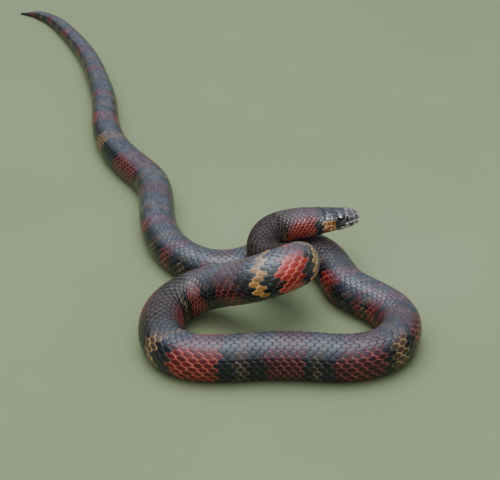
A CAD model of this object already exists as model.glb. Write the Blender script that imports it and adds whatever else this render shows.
"""Looks of the milk snake: one skin with real scales, head plates and eyes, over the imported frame.

Lengths are in millimetres, as in the part's own source, and turn into metres where meshes are made.
"""

import math

import bpy
import numpy as np
from mathutils import Matrix, Vector


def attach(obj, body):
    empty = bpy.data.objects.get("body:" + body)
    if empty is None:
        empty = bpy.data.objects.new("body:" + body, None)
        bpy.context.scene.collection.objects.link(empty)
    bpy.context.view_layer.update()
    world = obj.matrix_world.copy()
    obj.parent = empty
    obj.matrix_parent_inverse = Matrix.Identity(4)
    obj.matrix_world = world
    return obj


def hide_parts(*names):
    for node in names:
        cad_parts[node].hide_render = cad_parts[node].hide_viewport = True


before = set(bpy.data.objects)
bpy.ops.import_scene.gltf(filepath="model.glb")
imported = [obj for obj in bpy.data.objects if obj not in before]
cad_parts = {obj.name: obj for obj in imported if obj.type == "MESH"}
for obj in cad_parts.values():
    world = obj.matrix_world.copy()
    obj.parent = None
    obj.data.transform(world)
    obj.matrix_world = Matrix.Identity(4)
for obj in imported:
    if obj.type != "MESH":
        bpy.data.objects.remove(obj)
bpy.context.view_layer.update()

MM = 0.001
SEED = 7

# The body's route, girth and section, as the solids have them.
ROUTE = {
    "head and neck": [(117, -120.5, 28.6), (100, -124, 28.4), (83, -128, 27.3), (67, -133, 27)],
    "neck loop": [(54, -144, 25.5), (52, -160, 21), (64, -172, 21)],
    "raised loop": [(74, -183, 27), (70, -198, 32.5), (55, -205, 30), (40, -202, 23), (27, -194, 15.5)],
    "front limb": [(12, -188.5, 8), (-3, -192, 2.6), (-13, -205, 0.2), (-15.5, -222, 0)],
    "low loop": [(-12, -239, 0), (-1.5, -251.5, 0), (15, -256, 0), (49, -254, 0), (83, -255, 0)],
    "right loop": [(101, -256, 0), (117, -253, 0), (131, -244, 0), (138.5, -228, 0), (138.5, -211, 0)],
    "rear limb": [(130, -196, 0), (107, -171, 0), (95, -140, 0), (84, -127, 0), (67.5, -124, 0)],
    "crossed limb": [(53, -133.5, 0), (40, -144.5, 0), (23.5, -149, 0), (7, -144, 0), (-5.5, -132.5, 0)],
    "back limb": [(-20, -101, 0), (-24, -67, 0), (-29, -33, 0), (-46, -4, 0), (-61, 27, 0), (-68, 60, 0)],
    "tail base": [(-71, 94, 0), (-77, 128, 0), (-90, 178, 0)],
    "tail end": [(-110, 225, 0), (-128, 254, 0), (-141, 265, 0), (-153, 270, 0)],
}
GIRTH = [
    (0, 17), (29, 18.8), (40, 20.6), (90, 22.2), (120, 27), (150, 29.6), (210, 28.6), (270, 28.8),
    (370, 30.6), (470, 27.8), (560, 26.3), (720, 25.1), (800, 23.4), (880, 20.6), (1000, 14.8),
    (1060, 11.4), (1090, 7.6), (1108, 2.2),
]
SECTION_SIDE = [(0.21, -0.44), (0.385, -0.335), (0.48, -0.13), (0.49, 0.10), (0.41, 0.31), (0.235, 0.455)]
BELLY_DEPTH = 0.44
BACK_HEIGHT = 0.50

# Head sizes, as the solids have them: station, half width, top, bottom.
HEAD_END = 29
HEAD_STATIONS = [
    (0.0, 0.0, 0.2, -0.2), (0.4, 2.5, 1.9, -2.1), (1.2, 4.1, 3.3, -3.5), (2.6, 5.3, 4.4, -4.7),
    (4.6, 6.1, 5.2, -5.5), (7.4, 6.9, 5.9, -6.2), (10.2, 7.5, 6.5, -6.7), (12.7, 7.9, 6.8, -7.0),
    (15.6, 8.4, 7.1, -7.3), (18.6, 9.0, 7.5, -7.6), (21.6, 9.4, 8.0, -7.9), (24.6, 9.5, 8.6, -8.1),
    (27.0, 9.45, 9.1, -8.2),
]
HEAD_SQUARENESS = 2.35
HEAD_ROLL = math.radians(8)
MOUTH_LINE = [(-1.0, -1.7), (3.0, -1.5), (8.0, -1.9), (13.0, -2.5), (18.0, -2.8), (23.0, -2.1)]
MOUTH_CORNER = 23.0
EYE_STATION, EYE_ACROSS, EYE_HEIGHT, EYE_RADIUS = 14.2, 5.55, 2.8, 2.9
EYE_AIM_BACK, EYE_AIM_UP = -0.12, 0.05
EYE_RINGS, EYE_SIDES, EYE_POLE_GAP = 33, 48, 0.02
NOSTRIL_STATION, NOSTRIL_TURN = 3.3, 66

# Head plates. Corners are millimetres from the snout tip and degrees from the head's ridge; neighbours
# share their corners, and every plate then draws in by half a joint.
MIDDLE_PLATES = {
    "rostral": [(2.8, 0), (2.2, 38), (1.5, 72), (1.2, 96), (1.2, -96), (1.5, -72), (2.2, -38)],
    "frontal": [(10.2, 0), (10.6, 26), (15.8, 23), (18.4, 0), (15.8, -23), (10.6, -26)],
    "mental": [(1.1, 152), (3.2, 180), (1.1, 208)],
}
SIDE_PLATES = {
    "internasal": [(2.8, 0), (2.2, 38), (4.9, 48), (6.0, 0)],
    "prefrontal": [(6.0, 0), (4.9, 48), (5.2, 64), (9.2, 62), (10.3, 58), (10.6, 26), (10.2, 0)],
    "supraocular": [(10.6, 26), (10.3, 58), (11.6, 54), (14.2, 48), (16.9, 52), (15.8, 23)],
    "parietal": [(15.8, 23), (16.9, 52), (20.6, 50), (23.9, 34), (24.6, 12), (24.2, 0), (18.4, 0)],
    "nasal": [(2.2, 38), (1.5, 72), (1.4, 84), (5.3, 88), (5.2, 64), (4.9, 48)],
    "loreal": [(5.2, 64), (9.2, 62), (9.0, 90), (5.3, 88)],
    "preocular": [(9.2, 62), (10.3, 58), (11.6, 54), (11.5, 72), (11.7, 92), (9.0, 90)],
    "upper_postocular": [(16.9, 52), (16.8, 72), (18.6, 72), (18.5, 51)],
    "lower_postocular": [(16.8, 72), (16.5, 94), (18.4, 94), (18.6, 72)],
    "upper_temporal": [(18.5, 51), (18.6, 72), (21.8, 72), (21.6, 45), (20.6, 50)],
    "lower_temporal": [(18.6, 72), (18.4, 94), (22.0, 91), (21.8, 72)],
    "upper_rear_temporal": [(21.6, 45), (21.8, 72), (25.2, 70), (25.4, 48), (23.9, 34)],
    "lower_rear_temporal": [(21.8, 72), (22.0, 91), (25.2, 91), (25.2, 70)],
    "front_chin_shield": [(3.2, 180), (2.6, 150), (5.0, 139), (10.0, 138), (10.6, 158), (10.8, 180)],
    "rear_chin_shield": [(10.8, 180), (10.6, 158), (10.0, 138), (16.0, 141), (17.0, 162), (16.4, 180)],
}
# Lip plates: where they meet along the jaw, and their far and near edges from the mouth line.
LIPS = [
    ("upper_lip", [1.4, 3.9, 6.4, 9.0, 12.0, 15.6, 19.2, 22.6], (1.95, 0.12)),
    ("lower_lip", [1.4, 3.4, 5.6, 8.3, 11.4, 14.8, 18.2, 21.8], (-2.6, -0.42)),
]
PLATE_JOINT = 0.3
PLATE_SIDES = 48
# A plate's rings, from its rim to its middle: size, height, how much rim colour. The nasal has a hole.
PLATE_PROFILE = (
    [1.02, 1.0, 0.97, 0.92, 0.8, 0.6, 0.35, 0.0],
    [-0.5, -0.02, 0.10, 0.17, 0.21, 0.24, 0.26, 0.27],
    [1.0, 1.0, 0.9, 0.6, 0.2, 0.0, 0.0, 0.0],
)
NASAL_PROFILE = (
    [1.02, 1.0, 0.95, 0.86, 0.6, 0.4, 0.29, 0.0],
    [-0.5, -0.02, 0.12, 0.19, 0.24, 0.2, -0.9, -1.3],
    [1.0, 1.0, 0.8, 0.4, 0.1, 0.1, 0.0, 0.0],
)
# About how many millimetres a step along the head and a radian of turn are; the nostril's rings.
TURN_SIZE = (1.0, 6.0)
NOSTRIL_REACH, NOSTRIL_ROUNDING = 2.1, (0.42, 0.62)
# How pale the lips are, with the lower one's spots by station, and each other plate: all over, at its edge.
UPPER_LIP_PALE, UPPER_LIP_PALE_END = 0.95, 12.5
LOWER_LIP_PALE, SPOT_PALE, LOWER_LIP_SPOTS, SPOT_REACH = 0.05, 0.7, (4.5, 9.8, 13.1), 0.9
PALE_PLATES = [
    (0.07, 0.42, ("rostral", "nasal", "loreal")), (0.05, 0.26, ("internasal", "prefrontal")),
    (0.12, 0.12, ("upper_temporal", "upper_rear_temporal")), (0, 0.15, ("supraocular", "preocular")),
    (0.2, 0, ("mental", "front_chin_shield", "rear_chin_shield")),
]

# Scales: rows over the back, the step along as a share of the width, and the belly's part of the way
# round, on each side, which the scutes cover.
SCALE_ROWS, TAIL_ROWS, TAIL_TIP_ROWS = 21, 13, 9
TAIL_START, TAIL_TIP_START = 900, 990
SCALE_STEP_SHARE, SHORTEST_STEP = 0.178, 1.4
BELLY_SHARE = 0.138
SCALE_HALF_LENGTH, SCALE_HALF_WIDTH, LOW_SCALE_WIDENING = 0.56, 0.74, 0.12
SCALE_TAPER = 0.2
SCALE_RISE, SCALE_TILT, SCALE_SINK = 0.013, 0.5, 0.1
# Small differences between scales: in length, and in where a marking's edge falls, for the width.
LENGTH_CHANCE, MARKING_CHANCE, MARKING_CHANCE_START = 0.03, 0.04, (28, 34)
# The shade of the skin and scutes. That of the scales runs from 0 to 1.
MIDDLE_SHADE = 0.5
# The throat's scales in front of this station take its markings.
THROAT_MARKS_STATION = 15
# Station, and how long the steps are there. The tail's own change comes on top.
STEP_CHANGES = [(20, 0.92), (60, 1.0), (112, 1.0), (124, 0.84), (150, 0.84), (165, 1.0)]
TAIL_STEP_CHANGES = [(840, 1.0), (960, 1.35)]
# The coat's pieces: name, first and last station, material. Chance is drawn once for each stretch of
# CHANCE_STOPS. The neck's loop is duller and the raised loop glossier, as in the photograph's light.
SCALES_START, SCUTES_START, SCALES_END_GAP = 9.0, 24, 8
SCALE_PIECES = [
    ("scales_neck", 0, 56.5, "scale_look"), ("scales_neck_loop", 56.5, 122.5, "loop_look"),
    ("scales_raised_loop", 122.5, 215, "raised_look"), ("scales_low_loop", 215, 440, "scale_look"),
    ("scales_rear_limb", 440, 700, "scale_look"), ("scales_back_limb", 700, 870, "scale_look"),
    ("scales_tail", 870, 1200, "scale_look"),
]
CHANCE_STOPS = (0, 215, 440, 700, 870, 1200)
# A scale's rings, from its middle outward: size, height, how much rim colour.
SCALE_PROFILE = ([0.45, 0.72, 0.88, 0.97, 1.02], [0.95, 0.78, 0.52, 0.2, -0.9], [0.1, 0.45, 0.85, 1.0, 1.0])
SCALE_SQUARENESS = 2 / 2.3
# A scute's rings, from its front to its rear: place along its step, height, how much rim colour.
SCUTE_PROFILE = (
    [0.0, 0.0, 0.35, 0.75, 0.95, 1.08, 1.08],
    [-0.35, -0.16, -0.10, -0.03, 0.0, -0.02, -0.35],
    [1.0, 0.7, 0.15, 0.2, 0.7, 1.0, 1.0],
)
SCUTE_OVERLAP, SCUTE_EDGE, SCUTE_EDGE_DROP = 1.02, (0.93, 1.0), 0.3
SCUTE_POINTS, SCUTE_MAP_PLACE = 15, 0.02
# Where the head is left to its plates: past so many degrees from the ridge, up to which station.
BARE_ENDS = [(152, 18.0), (122, 12.0), (92, 23.4), (45, 25.9), (-1, 25.4)]

# The skin lies this far under the body's surface, with a socket round each eye, nostrils and a mouth groove.
SKIN_DROP, SKIN_DROP_SHARE = 0.25, 0.1
SKIN_SIDES = 128
SOCKET_ACROSS, SOCKET_DEPTH, SOCKET_EDGE = 7.75, 1.7, (1.75, 2.5)
NOSTRIL_DEPTH, NOSTRIL_EDGE = 1.5, (0.5, 0.95)
GROOVE_DROP, GROOVE_DEPTH, GROOVE_EDGE = 0.15, 0.55, (0.12, 0.55)
GROOVE_FADE = (MOUTH_CORNER - 2.5, MOUTH_CORNER + 0.4)
GROOVE_END = MOUTH_CORNER + 0.5
# Where the head's surface turns into the body's.
NECK_BLEND = (25.0, 31.0)

# The flat map: the body's length in rows, each with a margin at its start and on its near side.
UNWRAP_ROWS = 6
MAP_START, MAP_LENGTH = 0.01, 0.98
MAP_NEAR, MAP_WIDTH = 0.03, 0.94
SCALE_PATCH, PLATE_PATCH, CAP_PATCH, CAP_PLACE = 0.0015, 0.004, 0.003, 0.004

# Coloured bands along the ridge of the back: start, end, how bright. Everything between them is black.
RED_BANDS = [
    (29.2, 53.0, 0.75), (61, 82, 0.1), (89, 105, 0.1), (134.5, 145.5, 0.95), (164.5, 183, 0.35),
    (198, 217, 0.45), (238, 262, 0.2), (296.5, 320.5, 0.62), (351, 376, 0.14), (396.5, 421, 0.2),
    (442, 459, 0.4), (465, 477, 0.55), (484, 490, 0.4), (507, 520, 0.7), (545, 565, 0.4),
    (588, 606, 0.4), (626, 640, 0.25), (662, 670, 0.3), (696, 708, 0.45), (738, 755, 0.2),
    (776, 807, 0.3), (862, 877, 0.55), (904, 914, 0.35), (952, 962, 0.3), (990, 1003, 0.3),
    (1031, 1043, 0.35), (1065, 1075, 0.35), (1093, 1100, 0.3),
]
TAN_BANDS = [
    (55.2, 58.4, 0.5), (84, 87, 0.25), (107, 109.5, 0.2), (123.8, 129.2, 0.8), (152.8, 157.2, 0.95),
    (189.5, 191.5, 0.05), (226, 229, 0.2), (281, 286.5, 0.5), (330, 338, 0), (382, 387, 0),
    (427, 435, 0.4), (479.5, 482, 0.35), (496, 499, 0.1), (531, 536, 0.2), (574, 579, 0.2), (614, 618, 0.15),
    (650, 654, 0.1), (677, 684, 0.1), (717, 724, 0.15), (764, 772, 0.15), (829, 842, 0.45),
    (887, 894, 0.2), (935, 944, 0.2), (972, 980, 0.2), (1014, 1022, 0.2), (1052, 1057, 0.2),
    (1083, 1087, 0.2),
]
# How far down from the ridge the dark wash of the back reaches, as a share of the way round.
BACK_WASH = [
    (24, 0.13), (45, 0.15), (60, 0.3), (110, 0.25), (122, 0.12), (143, 0.06), (157, 0.08), (176, 0.19),
    (195, 0.15), (210, 0.1), (250, 0.13), (305, 0.09), (335, 0.1), (360, 0.14), (408, 0.11),
    (430, 0.1), (455, 0.15), (480, 0.17), (498, 0.21), (520, 0.12), (640, 0.15), (702, 0.13), (745, 0.17),
    (790, 0.1), (870, 0.1), (940, 0.14), (1110, 0.14),
]
WASH_START, WASH_END = 0.55, 1.25
# Where the dark of the body is brown more than blue: station, how brown.
BROWN_PARTS = [
    (24, 0.2), (32, 0.5), (48, 0.65), (60, 0.95), (112, 1), (124, 0.5), (132, 0.2), (160, 0),
    (194, 0.05), (206, 0.6), (216, 1), (262, 1), (276, 0.4), (290, 0), (405, 0), (434, 0.35), (450, 0.4),
    (460, 0.1), (482, 0), (500, 0), (528, 0.6), (560, 0.8), (600, 0.3), (640, 0), (1110, 0),
]
# The bands lean: how far they run back on the right side and forward on the left, for the width.
BAND_LEAN = 0.19
RED_SOFTNESS, TAN_SOFTNESS = 0.5, 0.7
# Where the head's markings give way to the body's.
MARKS_BLEND = (27.8, 28.6)
# The tan cheek patch: where it starts and ends, its top and foot in degrees from the ridge, how much it
# fades at the foot, how red and bright it is. Then the dark wash of the head's top.
CHEEK_FRONT, CHEEK_REAR = (18.2, 19.2), (26.9, 27.9)
CHEEK_TOP, CHEEK_FOOT = (66, 76), (130, 150)
CHEEK_FOOT_LOSS, CHEEK_RED, CHEEK_BRIGHT = 0.7, 0.6, 0.86
HEAD_WASH, HEAD_WASH_FADE = 0.35, (40, 75)
# Pale parts, each by how pale it is, stations and degrees from the ridge.
SCUTE_PALE = 0.1
CHIN_PALE, CHIN_FADE, CHIN_EDGE = 0.25, (18, 30), (128, 150)
BELLY_PALE, BELLY_EDGE = 0.07, (135, 160)
# The cheek's rear edge and the nape's sides: how pale, then where they start and end, along and down.
PALE_SPOTS = [
    (0.1, (25.6, 26.4), (27.0, 28.0), CHEEK_TOP, (100, 125)),
    (0.05, (21, 24), (29, 35), (40, 52), (80, 92)),
]

# Camera, in millimetres: the point that it looks at, and where it stands from there.
LOOK_AT = (42.4, -93.3, 0.0)
CAMERA_TILT = math.radians(32)
CAMERA_DISTANCE = 1450
CAMERA_LENS = 148.25
# Lights, in metres: place, the point that it shines at, size, watts, colour.
SKY_PANEL = ((-0.1, 0.05, 1.7), (0.04, -0.05, 0), (1.6, 1.8), 38, (0.88, 0.94, 1.0))
FRONT_LIGHT = ((-0.15, -1.65, 1.45), (0.04, -0.1, 0), (2.6, 1.7), 18, (0.96, 0.96, 0.97))
# A small light for the highlight in the eye: where it stands from the eye, spread, then the rest.
CATCH_OFFSET, CATCH_SPREAD = (-0.016, -0.049, 0.058), math.radians(110)
CATCH_LIGHT = ((0.17, 0.032), 0.14, (0.9, 0.95, 1.0))
# The sky: its colours, where it brightens upward, where it dims aside, and to what share.
SKY_LOW, SKY_HIGH = (0.22, 0.22, 0.18, 1), (0.9, 1.03, 1.24, 1)
SKY_RISE, SKY_SIDES, SKY_SIDE_SHARE = (0.12, 0.8), (0.5, 0.95), 0.3


def smooth(value, low, high):
    x = np.clip((value - low) / (high - low), 0, 1)
    return x * x * (3 - 2 * x)


def within(value, rise, fall):
    """1 between two soft edges and 0 outside them."""
    return smooth(value, *rise) * (1 - smooth(value, *fall))


def read_table(table, at):
    """A number between the rows of a table of two columns."""
    return np.interp(at, *zip(*table))


def natural_spline(knots, values, at):
    """A natural cubic spline through values at the knots, read at the given places."""
    count = len(knots)
    step = np.diff(knots)
    slope = np.diff(values, axis=0) / step[:, None]
    system = np.eye(count)
    right = np.zeros_like(values)
    for i in range(1, count - 1):
        system[i, i - 1] = step[i - 1]
        system[i, i] = 2 * (step[i - 1] + step[i])
        system[i, i + 1] = step[i]
        right[i] = 6 * (slope[i] - slope[i - 1])
    bend = np.linalg.solve(system, right)
    cell = np.clip(np.searchsorted(knots, at) - 1, 0, count - 2)
    h = step[cell][:, None]
    a = (knots[cell + 1] - at)[:, None] / h
    b = 1 - a
    curve = ((a**3 - a) * bend[cell] + (b**3 - b) * bend[cell + 1]) * h**2 / 6
    return a * values[cell] + b * values[cell + 1] + curve


def width_at(station):
    return read_table(GIRTH, station)


def arc_lengths(points):
    steps = np.linalg.norm(np.diff(points, axis=0), axis=1)
    return np.concatenate([[0], np.cumsum(steps)])


def body_line():
    """Stations and points of the body's middle line, about a millimetre apart."""
    route = np.array([spot for part in ROUTE.values() for spot in part], float)
    chord = np.linalg.norm(np.diff(route, axis=0), axis=1)
    knots = np.concatenate([[0], np.cumsum(chord)])
    fine = natural_spline(knots, route, np.linspace(0, knots[-1], 4000))
    fine[:, 2] = np.maximum(fine[:, 2], 0)
    station = arc_lengths(fine)
    fine[:, 2] += BELLY_DEPTH * width_at(station)
    station = arc_lengths(fine)
    even = np.linspace(0, station[-1], int(station[-1]) + 1)
    return even, np.stack([np.interp(even, station, fine[:, k]) for k in range(3)], axis=1)


def section_curve():
    """The smooth closed section of unit width, evenly spaced from under the belly, and its normals."""
    left = [(-x, z) for x, z in reversed(SECTION_SIDE)]
    corners = np.array([(0, -BELLY_DEPTH)] + SECTION_SIDE + [(0, BACK_HEIGHT)] + left)
    looped = np.vstack([corners] * 3 + [corners[:1]])
    knots = np.arange(len(looped), dtype=float)
    count = len(corners)
    fine = natural_spline(knots, looped, np.linspace(count, 2 * count, 2001))
    run = arc_lengths(fine)
    even = np.linspace(0, run[-1], 1001)
    curve = np.stack([np.interp(even, run, fine[:, k]) for k in range(2)], axis=1)
    along = np.gradient(curve, axis=0)
    along[0] = along[-1] = curve[1] - curve[-2]
    normal = np.stack([along[:, 1], -along[:, 0]], axis=1)
    normal /= np.linalg.norm(normal, axis=1)[:, None]
    return curve, normal, run[-1]


class Body:
    """Places on the body's surface by station and by the way round, 0 to 1 from under the belly."""

    def __init__(self, reach=4):
        self.station, self.points = body_line()
        self.length = self.station[-1]
        self.curve, self.normal, self.girth = section_curve()
        ahead = np.minimum(np.arange(len(self.points)) + reach, len(self.points) - 1)
        behind = np.maximum(np.arange(len(self.points)) - reach, 0)
        back = self.points[ahead] - self.points[behind]
        back /= np.linalg.norm(back, axis=1)[:, None]
        left = np.cross(back, [0, 0, 1])
        left /= np.linalg.norm(left, axis=1)[:, None]
        self.back, self.left, self.up = back, left, np.cross(left, back)

    def read(self, table, s):
        return np.stack([np.interp(s, self.station, table[:, k]) for k in range(3)], axis=-1)

    def surface(self, s, around, rise):
        """Points at stations s, the way round, and a height off the surface."""
        spot = (np.asarray(around) % 1.0) * 1000
        span = np.arange(1001)
        flat = np.stack([np.interp(spot, span, self.curve[:, k]) for k in range(2)], axis=-1)
        out = np.stack([np.interp(spot, span, self.normal[:, k]) for k in range(2)], axis=-1)
        width = width_at(s)[..., None]
        flat = flat * width + out * np.asarray(rise)[..., None]
        point, left, up = (self.read(t, s) for t in (self.points, self.left, self.up))
        return point - flat[..., :1] * left + flat[..., 1:] * up

    def frame(self, s):
        rows = [self.read(t, np.float64(s)) for t in (self.points, self.back, self.left, self.up)]
        return [Vector(r) for r in rows]


class Head:
    """Places on the head's surface by station and by turn from the ridge, the right side positive."""

    def __init__(self, body):
        neck, back, left, up = body.frame(HEAD_END)
        axes = Matrix((back, -left, up)).transposed()
        self.place = Matrix.Translation(neck - HEAD_END * back) @ axes.to_4x4()
        self.body = body
        self.table = np.array(HEAD_STATIONS)

    def profile(self, t):
        knots = self.table[:, 0]
        return [np.interp(t, knots, self.table[:, k]) for k in (1, 2, 3)]

    def local(self, t, turn):
        half, top, bottom = self.profile(t)
        power = 2 / HEAD_SQUARENESS
        across, rise = np.sin(turn), np.cos(turn)
        height = np.where(rise > 0, top, -bottom)
        across = np.sign(across) * np.abs(across) ** power
        rise = np.sign(rise) * np.abs(rise) ** power
        return np.stack([t + 0 * turn, half * across, height * rise], axis=-1)

    def normals(self, t, turn):
        along = self.local(t + 0.05, turn) - self.local(np.maximum(t - 0.05, 0), turn)
        around = self.local(t, turn + 0.02) - self.local(t, turn - 0.02)
        out = np.cross(along, around)
        out /= np.linalg.norm(out, axis=-1)[..., None] + 1e-12
        point = self.local(t, turn)
        flip = np.sign((out[..., 1:] * point[..., 1:]).sum(-1))
        return out * np.where(flip == 0, 1, flip)[..., None]

    def to_floor(self, t, points):
        """Head axes to the floor's, with the head's lean."""
        fade = np.clip((HEAD_END - t) / (HEAD_END - MOUTH_CORNER), 0, 1)
        lean = HEAD_ROLL * fade
        y = points[..., 1] * np.cos(lean) - points[..., 2] * np.sin(lean)
        z = points[..., 1] * np.sin(lean) + points[..., 2] * np.cos(lean)
        flat = np.stack([points[..., 0], y, z], axis=-1)
        turn = np.array(self.place.to_3x3())
        return flat @ turn.T + np.array(self.place.translation)

    def surface(self, t, turn, rise):
        t, turn = np.broadcast_arrays(np.asarray(t, float), np.asarray(turn, float))
        points = self.local(t, turn) + self.normals(t, turn) * np.asarray(rise)[..., None]
        return self.to_floor(t, points)

    def lip_turn(self, t, rise):
        """Radians from the ridge to a place a rise above the mouth line."""
        height = read_table(MOUTH_LINE, t) + rise
        turns = np.radians(np.arange(50, 171))
        heights = self.local(np.full(len(turns), float(t)), turns)[:, 2]
        return float(np.interp(-height, -heights, turns))


class Snake:
    """The whole surface, head and body, with places given as on the body."""

    def __init__(self):
        self.body = Body()
        self.head = Head(self.body)
        self.length = self.body.length

    def surface(self, s, around, rise):
        s, around, rise = np.broadcast_arrays(*(np.asarray(v, float) for v in (s, around, rise)))
        s = np.clip(s, 0.05, self.length - 0.1)
        points = self.body.surface(s, around, rise)
        ahead = s < NECK_BLEND[1]
        if ahead.any():
            part = self.head.surface(s[ahead], turn_of(around[ahead]), rise[ahead])
            share = smooth(s[ahead], *NECK_BLEND)[..., None]
            points[ahead] = (1 - share) * part + share * points[ahead]
        return points


def turn_of(around):
    """The turn from the head's ridge, the right side positive, of a place on the way round."""
    return np.pi - 2 * np.pi * (around % 1.0)


def band_masks(s, around):
    """How red, how tan and how bright the body is there; what is neither red nor tan is black."""
    place = s - BAND_LEAN * width_at(s) * np.sin(2 * np.pi * (0.5 - around))
    red, tan, bright = np.zeros_like(s), np.zeros_like(s), np.zeros_like(s)
    for bands, mask, soft in ((RED_BANDS, red, RED_SOFTNESS), (TAN_BANDS, tan, TAN_SOFTNESS)):
        for start, end, level in bands:
            inside = within(place, (start - soft, start + soft), (end - soft, end + soft))
            np.maximum(mask, inside, out=mask)
            bright += level * inside
    return red, tan, np.clip(bright, 0, 1)


def wash(s, around):
    """The dark wash of the back, 1 along the ridge and 0 on the sides."""
    reach = read_table(BACK_WASH, s)
    off = np.abs((np.asarray(around) % 1.0) - 0.5)
    return 1 - smooth(off, WASH_START * reach, WASH_END * reach + 0.02)


def head_masks(t, side):
    """Red, tan, bright and wash amounts on the head, by station and degrees from the ridge."""
    cheek = within(t, CHEEK_FRONT, CHEEK_REAR) * smooth(side, *CHEEK_TOP)
    cheek = cheek * (1 - CHEEK_FOOT_LOSS * smooth(side, *CHEEK_FOOT))
    washed = HEAD_WASH * (1 - smooth(side, *HEAD_WASH_FADE))
    return CHEEK_RED * cheek, cheek, CHEEK_BRIGHT * cheek, washed


def marks_at(s, around):
    """Red, tan, bright and wash amounts at any place, stacked on the last axis."""
    s, around = np.broadcast_arrays(np.asarray(s, float), np.asarray(around, float))
    side = np.degrees(np.abs(turn_of(around)))
    on_head = np.stack(head_masks(s, side), axis=-1)
    on_body = np.stack([*band_masks(s, around), wash(s, around)], axis=-1)
    share = smooth(s, *MARKS_BLEND)[..., None]
    return (1 - share) * on_head + share * on_body


def pale_at(s, around):
    """How pale the chin, the belly, the cheek's rear edge and the nape's sides are."""
    side = np.degrees(np.abs(turn_of(np.asarray(around, float))))
    chin = CHIN_PALE * smooth(side, *CHIN_EDGE) * (1 - smooth(s, *CHIN_FADE))
    pale = chin + BELLY_PALE * smooth(side, *BELLY_EDGE)
    for amount, front, rear, top, foot in PALE_SPOTS:
        pale = np.maximum(pale, amount * within(s, front, rear) * within(side, top, foot))
    return pale


def new_object(name, data):
    item = bpy.data.objects.new(name, data)
    bpy.context.scene.collection.objects.link(item)
    return item


def new_mesh(name, points, faces, material):
    mesh = bpy.data.meshes.new(name)
    mesh.from_pydata((np.asarray(points) * MM).tolist(), [], faces)
    mesh.shade_smooth()
    mesh.materials.append(material)
    item = new_object(name, mesh)
    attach(item, "root")
    return item


def set_value(item, name, values, kind="FLOAT", key="value"):
    layer = item.data.attributes.new(name, kind, "POINT")
    layer.data.foreach_set(key, np.ascontiguousarray(values, dtype=np.float32).ravel())


def set_marks(item, marks, stations, pale, rim, seed):
    """The numbers that the materials read, one for each vertex or one for all."""
    set_value(item, "marking", marks, "FLOAT_COLOR", "color")
    brown = read_table(BROWN_PARTS, stations)
    for name, values in (("brown", brown), ("pale", pale), ("rim", rim), ("seed", seed)):
        set_value(item, name, np.broadcast_to(values, stations.shape))


def unwrap(s, around, length):
    """Where a place of the body lies on the flat map."""
    along = np.clip(s / length, 0, 0.999999) * UNWRAP_ROWS
    row = np.floor(along)
    return on_map(row, along - row, around)


def on_map(row, along, around):
    """A place of the flat map by its row, the share of the row's length and the way round."""
    height = (row + MAP_NEAR + MAP_WIDTH * around) / UNWRAP_ROWS
    return np.stack(np.broadcast_arrays(MAP_START + MAP_LENGTH * along, height), axis=-1)


def set_map(item, corner_spots):
    layer = item.data.uv_layers.new(name="OFBake")
    layer.data.foreach_set("uv", np.ascontiguousarray(corner_spots, dtype=np.float32).ravel())


def skin_stations(length):
    """Where the skin's rings stand: close on the head, wider on the body, close again at the tail tip."""
    head = np.arange(0.8, 27, 0.35)
    neck = np.arange(27, 140, 1.5)
    body = np.arange(140, length - 4, 2.5)
    tip = np.linspace(length - 3, length - 0.2, 6)
    return np.concatenate([[0.15, 0.3, 0.5], head, neck, body, tip])


def skin(snake, material):
    """One closed skin from the snout tip to the tail tip."""
    around = np.arange(SKIN_SIDES) / SKIN_SIDES
    turns = turn_of(around)
    stations = skin_stations(snake.length)
    s, around = np.broadcast_arrays(stations[:, None], around)
    depth = np.minimum(SKIN_DROP, SKIN_DROP_SHARE * width_at(s))
    for ring, t in zip(depth, stations[stations < GROOVE_END]):
        ring += socket_depth(snake.head, t, turns)
        ring += mouth_depth(snake.head, t, turns)
    points = snake.surface(s, around, -depth).reshape(-1, 3)
    item = new_mesh("skin", points, loft_faces(*s.shape), material)
    pale = pale_at(s, around).ravel()
    set_marks(item, marks_at(s, around).reshape(-1, 4), s.ravel(), pale, 1, MIDDLE_SHADE)
    map_loft(item, stations / snake.length * UNWRAP_ROWS)
    return item


def ring_faces(rings, sides, base=0):
    """Faces between closed rings of points, from the number of their first point."""
    faces = []
    for i in range(rings - 1):
        low, high = base + i * sides, base + (i + 1) * sides
        for j in range(sides):
            k = (j + 1) % sides
            faces.append((low + j, low + k, high + k, high + j))
    return faces


def loft_faces(rings, sides):
    ends = [tuple(reversed(range(sides))), tuple(range((rings - 1) * sides, rings * sides))]
    return ring_faces(rings, sides) + ends


def map_loft(item, along):
    """The unwrap of the skin: its quads in rows, with its two end caps as small patches."""
    row = np.floor(along[:-1])[:, None, None]
    near, far = along[:-1], along[1:]
    ends = np.stack([near, near, far, far], axis=-1)[:, None, :]
    sides = (np.arange(SKIN_SIDES)[:, None] + np.array([0, 1, 1, 0])) / SKIN_SIDES
    quads = on_map(row, np.clip(ends - row, 0, 1), sides).reshape(-1, 2)
    turn = 2 * np.pi * np.arange(SKIN_SIDES) / SKIN_SIDES
    disc = CAP_PATCH * np.stack([np.cos(turn), np.sin(turn)], axis=-1)
    front, rear = disc + (CAP_PLACE, CAP_PLACE), disc + (1 - CAP_PLACE, CAP_PLACE)
    set_map(item, np.concatenate([quads, front[::-1], rear]))


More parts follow.
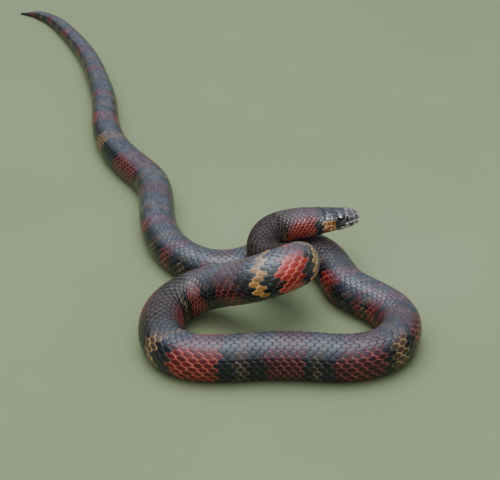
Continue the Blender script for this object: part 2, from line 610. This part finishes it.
def socket_depth(head, t, turns):
    """How far the skin sinks round the eye and in the nostril, on both sides."""
    points = head.local(np.full(len(turns), t), turns)
    depth = np.zeros(len(turns))
    for side in (1, -1):
        away = np.linalg.norm(points - np.array([EYE_STATION, side * SOCKET_ACROSS, EYE_HEIGHT]), axis=-1)
        depth += SOCKET_DEPTH * (1 - smooth(away, *SOCKET_EDGE))
        nostril_turn = np.array([side * math.radians(NOSTRIL_TURN)])
        nostril = head.local(np.array([NOSTRIL_STATION]), nostril_turn)[0]
        away = np.linalg.norm(points - nostril, axis=-1)
        depth += NOSTRIL_DEPTH * (1 - smooth(away, *NOSTRIL_EDGE))
    return depth


def mouth_depth(head, t, turns):
    """The groove of the mouth line."""
    line = head.lip_turn(t, -GROOVE_DROP)
    away = np.abs(np.abs(turns) - line) * float(head.profile(t)[0])
    fade = 1 - smooth(np.float64(t), *GROOVE_FADE)
    return GROOVE_DEPTH * (1 - smooth(away, *GROOVE_EDGE)) * fade


def scale_template(sides=14):
    """One scale, on a disc: along and across from -1 to 1, height 0 to 1, and 0 to 1 towards the rim."""
    spots = [(0.0, 0.0, 1.0, 0.0)]
    for radius, height, rim in zip(*SCALE_PROFILE):
        for j in range(sides):
            turn = 2 * math.pi * j / sides
            along, across = math.cos(turn), math.sin(turn)
            along = math.copysign(abs(along) ** SCALE_SQUARENESS, along)
            across = math.copysign(abs(across) ** SCALE_SQUARENESS, across)
            spots.append((radius * along, radius * across, height, rim))
    fan = [(0, 1 + j, 1 + (j + 1) % sides) for j in range(sides)]
    quads = ring_faces(len(SCALE_PROFILE[0]), sides, base=1)
    return np.array(spots), fan + [(a, d, c, b) for a, b, c, d in quads]


def scale_stops(length):
    """Stations where the rings of scales start."""
    stops = [SCALES_START]
    while stops[-1] < length - SCALES_END_GAP:
        here = stops[-1]
        share = SCALE_STEP_SHARE * float(read_table(TAIL_STEP_CHANGES, here))
        share *= float(read_table(STEP_CHANGES, here))
        stops.append(here + max(SHORTEST_STEP, share * float(width_at(here))))
    return stops


def rows_at(s):
    if s < TAIL_START:
        return SCALE_ROWS
    return TAIL_ROWS if s < TAIL_TIP_START else TAIL_TIP_ROWS


def is_bare(s, around):
    """Whether a place of the head is left to its plates."""
    side = abs(math.degrees(float(turn_of(around))))
    return s < next(end for turn, end in BARE_ENDS if side > turn)


def scale_roots(snake):
    """Station, way round, step along and row width of every scale."""
    stops = scale_stops(snake.length)
    roots = []
    for start, end in zip(stops[:-1], stops[1:]):
        step = end - start
        rows = rows_at(start)
        pitch = (1 - 2 * BELLY_SHARE) / rows
        for j in range(rows):
            s = start + 0.5 * (j % 2) * step
            around = BELLY_SHARE + (j + 0.5) * pitch
            if not is_bare(s, around):
                roots.append((s, around, step, pitch))
    return np.array(roots)


def chance_columns(station):
    """Random length, shift of the markings and shade of every scale, drawn stretch by stretch."""
    columns = np.zeros((len(station), 3))
    for start, end in zip(CHANCE_STOPS[:-1], CHANCE_STOPS[1:]):
        chosen = (station >= start) & (station < end)
        count = int(chosen.sum())
        rng = np.random.default_rng(SEED + count)
        columns[chosen, 0] = rng.standard_normal(count)
        columns[chosen, 1] = rng.uniform(-1, 1, count)
        columns[chosen, 2] = rng.uniform(0, 1, count)
    return columns


def scales(snake, name, roots, chance, material):
    """The scales of one stretch of the body as one mesh."""
    template, faces = scale_template()
    stretch, shift, seed = (chance[:, k:k + 1] for k in range(3))
    count, size = len(roots), len(template)
    station, around, step, pitch = (roots[:, k:k + 1] for k in range(4))
    low = np.abs(around - 0.5) / (0.5 - BELLY_SHARE)
    wide = pitch * (SCALE_HALF_WIDTH + LOW_SCALE_WIDENING * smooth(low, 0.7, 1.0))
    long = step * SCALE_HALF_LENGTH * (1 + LENGTH_CHANCE * stretch)
    along, across, height, rim = template.T
    s = station + along * long
    turn = around + across * wide * (1 - SCALE_TAPER * along)
    tilt = SCALE_TILT * along * (height > -0.5)
    rise = width_at(station) * SCALE_RISE * (height + tilt) - SCALE_SINK
    points = snake.surface(s, turn, rise).reshape(-1, 3)
    all_faces = [tuple(v + i * size for v in face) for i in range(count) for face in faces]
    item = new_mesh(name, points, all_faces, material)
    jitter = MARKING_CHANCE * width_at(station) * shift * smooth(station, *MARKING_CHANCE_START)
    spread = np.ones((count, size))
    marks = marks_at(np.maximum(station, THROAT_MARKS_STATION) + jitter, around) * spread[..., None]
    values = (station, pale_at(station, around), rim, seed)
    set_marks(item, marks.reshape(-1, 4), *((value * spread).ravel() for value in values))
    patch = unwrap(station, around, snake.length) + SCALE_PATCH * template[None, :, :2]
    map_points(item, patch.reshape(-1, 2))
    return item


def map_points(item, spots):
    """Gives every corner the flat-map place of its vertex."""
    index = np.empty(len(item.data.loops), dtype=np.int32)
    item.data.loops.foreach_get("vertex_index", index)
    set_map(item, spots[index])


def belly_scutes(snake, material):
    """Wide scutes across the belly, one to each step of the scale rows."""
    across = np.linspace(-1, 1, SCUTE_POINTS)
    along, height, rim = np.array(SCUTE_PROFILE)[..., None]
    edge = smooth(np.abs(across), *SCUTE_EDGE)
    stops = np.array([s for s in scale_stops(snake.length) if s > SCUTES_START])[:, None, None]
    s = stops[:-1] + along * np.diff(stops, axis=0)
    s, around = np.broadcast_arrays(s, BELLY_SHARE * SCUTE_OVERLAP * across)
    points = snake.surface(s, around, height - SCUTE_EDGE_DROP * edge).reshape(-1, 3)
    item = new_mesh("belly_scutes", points, sheet_faces(*s.shape), material)
    rims = np.broadcast_to(np.maximum(rim, edge), s.shape).ravel()
    set_marks(item, marks_at(s, around).reshape(-1, 4), s.ravel(), SCUTE_PALE, rims, MIDDLE_SHADE)
    root = unwrap(stops[:-1], np.array(SCUTE_MAP_PLACE), snake.length)
    patch = np.stack(np.broadcast_arrays(along, across), axis=-1)
    map_points(item, (root + SCALE_PATCH * patch).reshape(-1, 2))
    return item


def sheet_faces(sheets, rows, columns):
    """Faces of open sheets of points, one sheet after the other."""
    corners = [(r * columns + c, (r + 1) * columns + c) for r in range(rows - 1) for c in range(columns - 1)]
    grid = [(near, near + 1, far + 1, far) for near, far in corners]
    return [tuple(v + i * rows * columns for v in face) for i in range(sheets) for face in grid]


def round_corners(outline):
    """Cuts the corners of a closed outline twice."""
    for cut in (0.12, 0.2):
        after = np.roll(outline, -1, axis=0)
        pair = [(1 - cut) * outline + cut * after, cut * outline + (1 - cut) * after]
        outline = np.stack(pair, axis=1).reshape(-1, 2)
    return outline


def draw_in(head, outline, centre):
    """Moves a plate's outline towards its middle by half a joint."""
    span = np.linalg.norm(head.local(*outline.T) - head.local(*centre), axis=-1)
    return centre + (outline - centre) * (1 - PLATE_JOINT / 2 / span)[:, None]


def plate_outlines(head):
    """Names and corners, in millimetres and radians, of every head plate."""
    middle, right = (
        [(name, np.array(corners) * (1, math.pi / 180)) for name, corners in plates.items()]
        for plates in (MIDDLE_PLATES, SIDE_PLATES)
    )
    for name, stations, (far, near) in LIPS:
        for front, rear in zip(stations[:-1], stations[1:]):
            corners = ((front, far), (front, near), (rear, near), (rear, far))
            right.append((name, np.array([(t, head.lip_turn(t, rise)) for t, rise in corners])))
    return middle + [(name, corners * (1, side)) for name, corners in right for side in (1, -1)]


def resample(outline):
    """A plate's outline as evenly spaced points."""
    looped = np.vstack([outline, outline[:1]])
    run = arc_lengths(looped * TURN_SIZE)
    at = np.linspace(0, run[-1], PLATE_SIDES, endpoint=False)
    return np.stack([np.interp(at, run, looped[:, k]) for k in range(2)], axis=1)


def nostril_ring(outline, share):
    """The nasal plate's outline, drawn in and turned into the nostril's circle near the middle."""
    flat = outline * TURN_SIZE
    circle = NOSTRIL_REACH * flat / np.linalg.norm(flat, axis=1)[:, None] / TURN_SIZE
    roundness = 1 - float(smooth(share, *NOSTRIL_ROUNDING))
    return share * ((1 - roundness) * outline + roundness * circle)


def plate_rings(snake, name, corners, seed):
    """One plate's rings, from its rim to its middle: points, the marks on them and their map places."""
    outline = resample(round_corners(corners))
    centre = outline.mean(axis=0)
    outline = draw_in(snake.head, outline, centre) - centre
    root = unwrap(centre[:1], np.array([0.5]), snake.length)
    nasal = name == "nasal"
    rings = []
    for share, height, rim in zip(*(NASAL_PROFILE if nasal else PLATE_PROFILE)):
        spot = centre + (nostril_ring(outline, share) if nasal else outline * share)
        if share == 0:
            spot = spot[:1]
        t, turn = spot[:, 0], spot[:, 1]
        around = 0.5 - turn / (2 * np.pi)
        whole = np.ones(len(t))
        pale = plate_paleness(name, centre[0], share, height) * whole
        patch = root + PLATE_PATCH * (spot - centre) * (0.2, 1.0)
        points = snake.surface(t, around, height)
        rings.append((points, marks_at(t, around), t, pale, rim * whole, seed * whole, patch))
    return rings


def plate_faces(rings, base):
    """One plate's faces, from the number of its first point."""
    last = base + (rings - 2) * PLATE_SIDES
    middle = last + PLATE_SIDES
    fan = [(last + j, last + (j + 1) % PLATE_SIDES, middle) for j in range(PLATE_SIDES)]
    return ring_faces(rings - 1, PLATE_SIDES, base) + fan


def head_plates(snake, material):
    """Every plate of the head as a low dome with a rounded rim."""
    rng = np.random.default_rng(SEED)
    rings, faces, base = [], [], 0
    for name, corners in plate_outlines(snake.head):
        made = plate_rings(snake, name, corners, rng.uniform())
        faces += plate_faces(len(made), base)
        rings += made
        base += sum(len(ring[0]) for ring in made)
    points, *values, spots = (np.concatenate(column) for column in zip(*rings))
    item = new_mesh("head_plates", points, faces, material)
    set_marks(item, *values)
    map_points(item, spots)
    item.data.flip_normals()  # The rings' order leaves it inside out.
    return item


def plate_paleness(name, station, share, height):
    """Pale middles on the upper lip and here and there on the lower one, and pale edges on the snout."""
    if height < -0.1 and share < 0.9:
        return 0.0
    middle = 1 - float(smooth(share, 0.93, 1.0))
    if name == "upper_lip":
        return UPPER_LIP_PALE * middle if station < UPPER_LIP_PALE_END else 0.0
    if name == "lower_lip":
        near = min(abs(station - spot) for spot in LOWER_LIP_SPOTS)
        return (SPOT_PALE if near < SPOT_REACH else LOWER_LIP_PALE) * middle
    whole, edge = next((numbers for *numbers, names in PALE_PLATES if name in names), (0, 0))
    return whole + edge * float(smooth(share, 0.72, 0.97))


def linear(shade):
    return ((shade / 255 + 0.055) / 1.055) ** 2.4 if shade > 10 else shade / 255 / 12.92


def rgb(red, green, blue):
    """A colour as seen on screen, 0 to 255, made linear."""
    return linear(red), linear(green), linear(blue), 1


class Tree:
    """Short names for the nodes of one node tree."""

    def __init__(self, tree):
        self.tree = tree

    def node(self, kind, **settings):
        made = self.tree.nodes.new(kind)
        for key, value in settings.items():
            setattr(made, key, value)
        return made

    def feed(self, socket, value):
        if isinstance(value, bpy.types.NodeSocket):
            self.tree.links.new(value, socket)
        else:
            socket.default_value = value

    def fill(self, node, **values):
        """Feeds a node's sockets by name, a name's spaces written as underscores."""
        for key, value in values.items():
            self.feed(node.inputs[key.replace("_", " ")], value)
        return node

    def mix(self, factor, first, second):
        made = self.node("ShaderNodeMix", data_type="RGBA")
        self.feed(made.inputs[0], factor)
        self.feed(made.inputs[6], first)
        self.feed(made.inputs[7], second)
        return made.outputs[2]

    def math(self, operation, first, second=0.5, clamp=False):
        made = self.node("ShaderNodeMath", operation=operation, use_clamp=clamp)
        self.feed(made.inputs[0], first)
        self.feed(made.inputs[1], second)
        return made.outputs[0]

    def attribute(self, name):
        return self.node("ShaderNodeAttribute", attribute_name=name).outputs["Fac"]

    def noise(self, scale, detail=3.0):
        place = self.node("ShaderNodeTexCoord").outputs["Object"]
        made = self.node("ShaderNodeTexNoise")
        self.fill(made, Vector=place, Scale=scale, Detail=detail, Roughness=0.6)
        return made.outputs["Fac"]

    def ramp(self, value, low, high, to_low=0.0, to_high=1.0):
        made = self.node("ShaderNodeMapRange")
        self.fill(made, Value=value, From_Min=low, From_Max=high, To_Min=to_low, To_Max=to_high)
        return made.outputs["Result"]


class Shader(Tree):
    """The nodes of one material."""

    def __init__(self, name):
        self.material = bpy.data.materials.new(name)
        self.material.use_nodes = True
        super().__init__(self.material.node_tree)
        self.surface = self.tree.nodes["Principled BSDF"]

    def put(self, **values):
        self.fill(self.surface, **values)

    def bump(self, height, strength, distance):
        made = self.node("ShaderNodeBump")
        self.fill(made, Height=height, Strength=strength, Distance=distance)
        self.put(Normal=made.outputs[0])


# Colours of a scale's middle and rim: dull and bright for each marking, blue or brown for the black, and
# what the wash of the back turns them to.
BLACK = {"blue": (rgb(12, 12, 16), rgb(46, 51, 61)), "brown": (rgb(9, 6, 5), rgb(66, 51, 40))}
RED = {"dull": (rgb(42, 13, 19), rgb(112, 52, 62)), "bright": (rgb(150, 26, 16), rgb(230, 116, 92))}
TAN = {"dull": (rgb(34, 29, 28), rgb(126, 104, 86)), "bright": (rgb(172, 114, 50), rgb(236, 190, 118))}
WASHED = {
    "blue": (rgb(63, 66, 74), rgb(18, 20, 25)), "brown": (rgb(8, 6, 5), rgb(80, 65, 52)),
    "red": {"dull": (rgb(66, 55, 61), rgb(50, 36, 39)), "bright": (rgb(94, 71, 80), rgb(58, 37, 41))},
    "tan": {"dull": (rgb(74, 69, 70), rgb(58, 49, 45)), "bright": (rgb(132, 106, 88), rgb(150, 122, 98))},
}
PALE = (rgb(206, 192, 188), rgb(226, 212, 204))
# The scaly materials: roughness, coat, how much the roughness varies, specular level.
LOOKS = {
    "skin_look": (0.5, 0.1, 0.08, 0.22), "scale_look": (0.34, 0.4, 0.08, 0.22),
    "loop_look": (0.4, 0.12, 0.08, 0.08), "raised_look": (0.38, 0.7, 0.08, 0.5),
    "plate_look": (0.24, 0.9, 0.04, 0.22),
}
COAT_ROUGHNESS, BROWN_ROUGHNESS = 0.2, 0.1
SHADE_CHANCE, GRAIN_SHADES = 0.28, (0.88, 1.12)
# How fine the noises of the scaly materials are, and how strong and deep their bumps.
GRAIN, BLOTCHES, BUMPS, BUMP_DEPTH = 900.0, 160.0, 2600.0, (0.25, 0.0001)


def marking_colour(shader, rim):
    """The colour from the marking attributes, with the scale's middle darker than its rim."""
    marking = shader.node("ShaderNodeAttribute", attribute_name="marking")
    split = shader.node("ShaderNodeSeparateColor")
    shader.feed(split.inputs[0], marking.outputs["Color"])
    red, tan, bright = split.outputs
    washed = marking.outputs["Alpha"]
    brown = shader.attribute("brown")
    middle_bright = shader.math("POWER", bright, 3.0)

    def toned(pair):
        return shader.mix(rim, *pair)

    def band(tones, under_wash, wash_bright):
        middle = shader.mix(middle_bright, tones["dull"][0], tones["bright"][0])
        edge = shader.mix(bright, tones["dull"][1], tones["bright"][1])
        dark = shader.mix(wash_bright, toned(under_wash["dull"]), toned(under_wash["bright"]))
        dark = shader.mix(shader.math("MULTIPLY", brown, 0.8), dark, toned(WASHED["brown"]))
        return shader.mix(washed, shader.mix(rim, middle, edge), dark)

    def black(tones):
        return shader.mix(brown, toned(tones["blue"]), toned(tones["brown"]))

    colour = shader.mix(washed, black(BLACK), black(WASHED))
    colour = shader.mix(red, colour, band(RED, WASHED["red"], bright))
    tan_share = shader.math("MULTIPLY", tan, shader.ramp(red, 0.0, 1.0, 1.0, 0.3))
    colour = shader.mix(tan_share, colour, band(TAN, WASHED["tan"], middle_bright))
    return shader.mix(shader.attribute("pale"), colour, toned(PALE))


def scale_material(name, roughness, coat, gloss_noise, shine):
    """Glossy scales: dark middles, light rims, a fine grain and small differences between scales."""
    shader = Shader(name)
    grain = shader.noise(GRAIN)
    blotch = shader.noise(BLOTCHES, 2.0)
    rim = shader.ramp(shader.attribute("rim"), 0.25, 1.0)
    rim = shader.math("MULTIPLY", rim, shader.ramp(blotch, 0.3, 0.7, 0.5, 1.0), clamp=True)
    colour = marking_colour(shader, rim)
    own_shade = shader.ramp(shader.attribute("seed"), 0.0, 1.0, -SHADE_CHANCE, SHADE_CHANCE)
    shade = shader.math("ADD", own_shade, shader.ramp(grain, 0.3, 0.7, *GRAIN_SHADES))
    tone = shader.fill(shader.node("ShaderNodeHueSaturation"), Value=shade, Color=colour)
    rough = shader.ramp(grain, 0.3, 0.7, roughness - gloss_noise, roughness + gloss_noise)
    brown_part = shader.ramp(shader.attribute("brown"), 0.0, 1.0, 0.0, BROWN_ROUGHNESS)
    shader.put(Base_Color=tone.outputs[0], Roughness=shader.math("ADD", rough, brown_part))
    shader.put(Coat_Weight=coat, Coat_Roughness=COAT_ROUGHNESS, Specular_IOR_Level=shine)
    shader.bump(shader.noise(BUMPS, 2.0), *BUMP_DEPTH)
    return shader.material


def eye_material():
    """A dark iris round a black pupil, seen through a clear spectacle."""
    shader = Shader("eye")
    away = shader.attribute("pupil")
    streak = shader.noise(1400.0, 4.0)
    iris = shader.mix(streak, rgb(10, 7, 7), rgb(34, 20, 16))
    pupil = shader.ramp(away, 0.44, 0.5)
    colour = shader.mix(pupil, rgb(3, 3, 4), iris)
    rim = shader.ramp(away, 0.82, 0.95)
    shader.put(Base_Color=shader.mix(rim, colour, rgb(10, 10, 12)))
    shader.put(Roughness=shader.ramp(streak, 0.3, 0.7, 0.08, 0.16))
    shader.put(Coat_Weight=1.0, Coat_Roughness=0.03, Coat_IOR=1.6)
    shader.bump(streak, 0.1, 0.00002)
    return shader.material


def eye(head, node, side, material):
    """A ball with the pupil facing out and slightly forward."""
    centre = np.array([EYE_STATION, side * EYE_ACROSS, EYE_HEIGHT])
    out = Vector((EYE_AIM_BACK, side, EYE_AIM_UP)).normalized()
    turn = np.array(out.to_track_quat("Z", "Y").to_matrix())
    tilt = math.pi * (np.arange(EYE_RINGS)[:, None] + EYE_POLE_GAP) / (EYE_RINGS - 1 + 2 * EYE_POLE_GAP)
    spin = 2 * math.pi * np.arange(EYE_SIDES) / EYE_SIDES
    across, rise = np.sin(tilt), np.cos(tilt)
    ball = np.broadcast_arrays(across * np.cos(spin), across * np.sin(spin), rise)
    points = centre + EYE_RADIUS * np.stack(ball, axis=-1).reshape(-1, 3) @ turn.T
    points = head.to_floor(np.full(len(points), EYE_STATION), points)
    item = new_mesh(node + "_ball", points, loft_faces(EYE_RINGS, EYE_SIDES), material)
    item.data.flip_normals()  # The rings' order leaves it inside out.
    set_value(item, "pupil", np.repeat(np.where(rise > 0, across, 1.0), EYE_SIDES))
    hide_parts(node)


def floor():
    """A plain matt floor that isn't part of the model."""
    bpy.ops.mesh.primitive_plane_add(size=6, location=(0, 0, 0))
    plane = bpy.context.object
    plane.name = "floor"
    shader = Shader("floor")
    tone = shader.mix(shader.noise(6.0), rgb(112, 120, 86), rgb(123, 131, 94))
    shader.put(Base_Color=tone, Roughness=0.9)
    plane.data.materials.append(shader.material)


def area_light(name, place, aim, size, power, colour):
    data = bpy.data.lights.new(name, "AREA")
    data.shape = "RECTANGLE"
    data.size, data.size_y = size
    data.energy = power
    data.color = colour
    item = new_object(name, data)
    item.location = place
    item.rotation_euler = (Vector(aim) - Vector(place)).to_track_quat("-Z", "Y").to_euler()
    return item


def sky():
    """An overcast sky, brightest overhead and dimmer on both sides."""
    world = bpy.data.worlds.new("sky")
    bpy.context.scene.world = world
    world.use_nodes = True
    shader = Tree(world.node_tree)
    direction = shader.node("ShaderNodeSeparateXYZ")
    shader.feed(direction.inputs[0], shader.node("ShaderNodeTexCoord").outputs["Generated"])
    aside = shader.math("ABSOLUTE", direction.outputs["X"])
    height = shader.ramp(direction.outputs["Z"], *SKY_RISE)
    share = shader.math("MULTIPLY", height, shader.ramp(aside, *SKY_SIDES, 1.0, SKY_SIDE_SHARE))
    shader.fill(world.node_tree.nodes["Background"], Color=shader.mix(share, SKY_LOW, SKY_HIGH))


def catch_light(head):
    """The small light for the highlight in the right eye. It is seen in reflections alone."""
    eye_spot = np.array([[EYE_STATION, EYE_ACROSS, EYE_HEIGHT]])
    eye_spot = head.to_floor(np.array([EYE_STATION]), eye_spot)[0] * MM
    place = Vector(eye_spot) + Vector(CATCH_OFFSET)
    catch = area_light("catch_light", place, eye_spot, *CATCH_LIGHT)
    catch.data.spread = CATCH_SPREAD
    catch.visible_diffuse = catch.visible_camera = False


def camera():
    data = bpy.data.cameras.new("camera")
    data.lens = CAMERA_LENS
    data.clip_start = 0.05
    item = new_object("camera", data)
    aim = Vector(LOOK_AT) * MM
    away = Vector((0, -math.cos(CAMERA_TILT), math.sin(CAMERA_TILT)))
    item.location = aim + away * CAMERA_DISTANCE * MM
    item.rotation_euler = (-away).to_track_quat("-Z", "Y").to_euler()
    bpy.context.scene.camera = item


def main():
    snake = Snake()
    looks = {name: scale_material(name, *numbers) for name, numbers in LOOKS.items()}
    covering = skin(snake, looks["skin_look"])
    flesh = [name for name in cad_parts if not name.startswith("eye_")]
    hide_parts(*flesh)
    roots = scale_roots(snake)
    chance = chance_columns(roots[:, 0])
    for name, start, end, look in SCALE_PIECES:
        some = (roots[:, 0] >= start) & (roots[:, 0] < end)
        scales(snake, name, roots[some], chance[some], looks[look])
    belly_scutes(snake, looks["scale_look"])
    head_plates(snake, looks["plate_look"])
    eye_look = eye_material()
    eye(snake.head, "eye_right", 1, eye_look)
    eye(snake.head, "eye_left", -1, eye_look)
    floor()
    sky()
    area_light("sky_panel", *SKY_PANEL)
    area_light("front_light", *FRONT_LIGHT)
    catch_light(snake.head)
    camera()


main()
